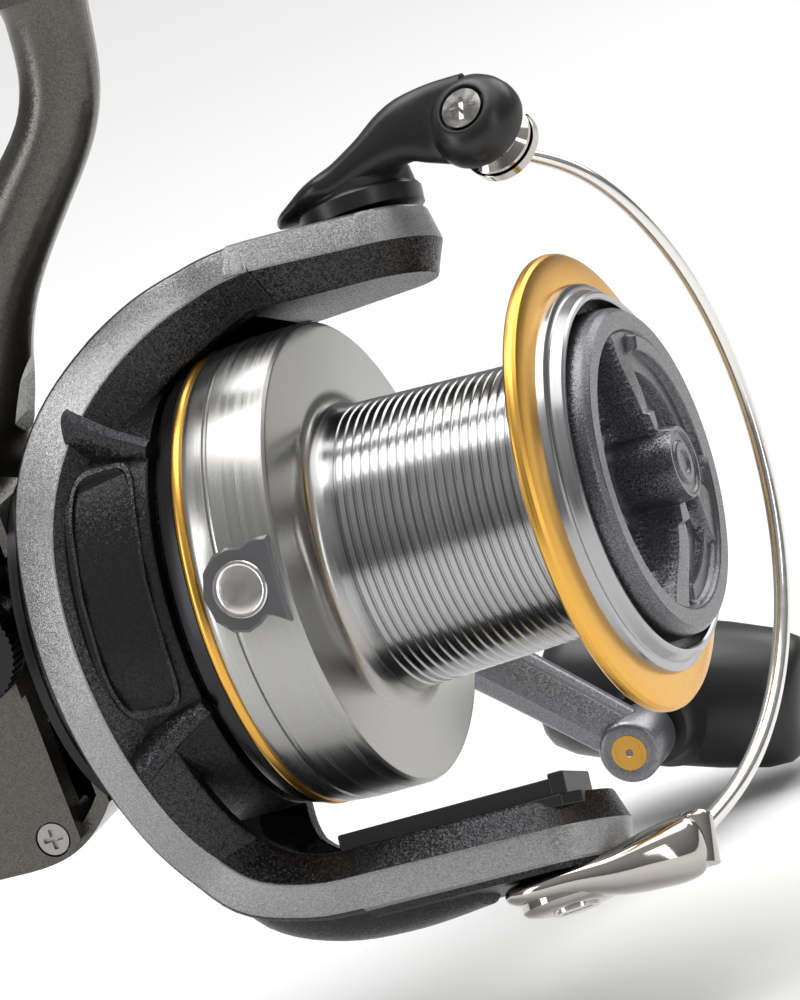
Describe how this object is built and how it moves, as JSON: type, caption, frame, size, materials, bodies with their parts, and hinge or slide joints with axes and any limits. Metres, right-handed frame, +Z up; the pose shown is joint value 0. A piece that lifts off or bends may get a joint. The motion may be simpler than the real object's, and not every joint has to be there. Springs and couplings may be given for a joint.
{
  "type": "spinning reel",
  "caption": "Fixed-spool fishing reel with long-cast spool, open two-arm rotor, swinging bail, line roller, side crank with bar knob and stemmed foot.",
  "frame": {"origin": "centre of the foot's flat seat, where it lies against the rod", "axes": "+X along the spool axis to the front (towards the rod tip), +Y to the crank side, +Z up out of the foot seat to the rod"},
  "size_m": [0.1533, 0.1503, 0.1757],
  "materials": {
    "paint_gunmetal": "metallic flake, satin",
    "machined_aluminium": "fine turned, polished",
    "gold_anodised": "gold anodised, polished",
    "black_anodised": "satin black",
    "satin_black_plastic": "satin moulded",
    "gloss_grey_plastic": "gloss",
    "chrome": "mirror",
    "polished_steel": "polished",
    "dark_steel": "machined",
    "brass": "machined",
    "knob_rubber": "satin",
    "felt": "oiled felt"
  },
  "bodies": {
    "housing": {"body_housing": "paint_gunmetal", "side_cover": "paint_gunmetal", "rear_cover": "satin_black_plastic", "body_screws": "polished_steel", "nose_trim_ring": "gold_anodised", "drive_bearings": "polished_steel", "pinion_bearings": "polished_steel", "one_way_clutch": "dark_steel", "clutch_retainer": "dark_steel", "oscillation_axle": "polished_steel", "guide_rod": "polished_steel"},
    "crank": {"drive_gear": "dark_steel", "handle_shank": "machined_aluminium", "handle_arm": "paint_gunmetal", "handle_screw": "polished_steel", "knuckle_cap": "gold_anodised", "knob_shaft": "polished_steel", "knob_screw": "polished_steel", "handle_screw_cap": "black_anodised", "handle_cap_disc": "machined_aluminium"},
    "knob": {"handle_knob": "knob_rubber", "knob_bearings": "polished_steel", "knob_end_cap": "satin_black_plastic"},
    "oscillator": {"oscillation_gear": "dark_steel"},
    "rotor": {"rotor": "paint_gunmetal", "pinion_gear": "brass", "clutch_sleeve": "polished_steel", "rotor_nut": "brass", "rotor_brake_ring": "knob_rubber", "bail_spring": "polished_steel", "arm_cover_upper": "gloss_grey_plastic", "arm_cover_lower": "satin_black_plastic", "arm_cover_screws": "polished_steel"},
    "bail": {"bail_arm_upper": "satin_black_plastic", "bail_arm_lower": "chrome", "bail_wire": "polished_steel", "bail_cup": "chrome", "roller_screw": "polished_steel", "roller_bush": "brass", "bail_pivot_screws": "polished_steel"},
    "roller": {"line_roller": "chrome"},
    "shaft": {"main_shaft": "polished_steel", "oscillation_slider": "brass", "slider_screw": "polished_steel", "click_gear": "gloss_grey_plastic", "shaft_pin": "polished_steel"},
    "spool": {"spool": "machined_aluminium", "spool_lip_ring": "gold_anodised", "spool_front_rim": "machined_aluminium", "skirt_gold_ring": "gold_anodised", "skirt_black_ring": "black_anodised", "spool_bush": "brass", "drag_washers_metal": "polished_steel", "drag_washers_felt": "felt"},
    "drag_knob": {"drag_knob": "paint_gunmetal", "drag_nut": "brass"},
    "clip_1": {"line_clip_1": "gloss_grey_plastic", "clip_button_1": "polished_steel"},
    "clip_2": {"line_clip_2": "gloss_grey_plastic", "clip_button_2": "polished_steel"}
  },
  "joints": [
    {"name": "rotor_spin", "type": "hinge", "parent": "housing", "child": "rotor", "pos_m": [-0.004, 0, -0.101], "axis": [1, 0, 0], "continuous": true},
    {"name": "handle_turn", "type": "hinge", "parent": "housing", "child": "crank", "pos_m": [-0.041, 0, -0.0935], "axis": [0, 1, 0], "continuous": true},
    {"name": "oscillation_turn", "type": "hinge", "parent": "housing", "child": "oscillator", "pos_m": [-0.056, 0, -0.1105], "axis": [0, 1, 0], "continuous": true},
    {"name": "knob_spin", "type": "hinge", "parent": "crank", "child": "knob", "pos_m": [0.0168, 0.07, -0.1594], "axis": [0, 1, 0], "continuous": true},
    {"name": "bail_flip", "type": "hinge", "parent": "rotor", "child": "bail", "pos_m": [0.031, -0.00052, -0.1024], "axis": [-0.0774, 0.3492, 0.9339], "range_deg": [0, 75]},
    {"name": "line_roller_spin", "type": "hinge", "parent": "bail", "child": "roller", "pos_m": [0.0495, 0.01209, -0.04296], "axis": [0.0451, 0.7419, -0.669], "continuous": true},
    {"name": "spool_slide", "type": "slide", "parent": "housing", "child": "shaft", "axis": [1, 0, 0], "range_m": [0, 0.027]},
    {"name": "spool_spin", "type": "hinge", "parent": "shaft", "child": "spool", "pos_m": [0.036, 0, -0.101], "axis": [1, 0, 0], "continuous": true},
    {"name": "drag_knob_turn", "type": "hinge", "parent": "shaft", "child": "drag_knob", "pos_m": [0.06, 0, -0.101], "axis": [1, 0, 0], "continuous": true},
    {"name": "clip_1_lift", "type": "slide", "parent": "spool", "child": "clip_1", "axis": [0, -0.9781, 0.2079], "range_m": [0, 0.0006], "stiffness_N_per_m": 500},
    {"name": "clip_2_lift", "type": "slide", "parent": "spool", "child": "clip_2", "axis": [0, 0.9781, -0.2079], "range_m": [0, 0.0006], "stiffness_N_per_m": 500}
  ],
  "couplings": [
    {"joint": "handle_turn", "follows": "rotor_spin", "ratio": -0.28205},
    {"joint": "oscillation_turn", "follows": "rotor_spin", "ratio": 0.1453}
  ]
}
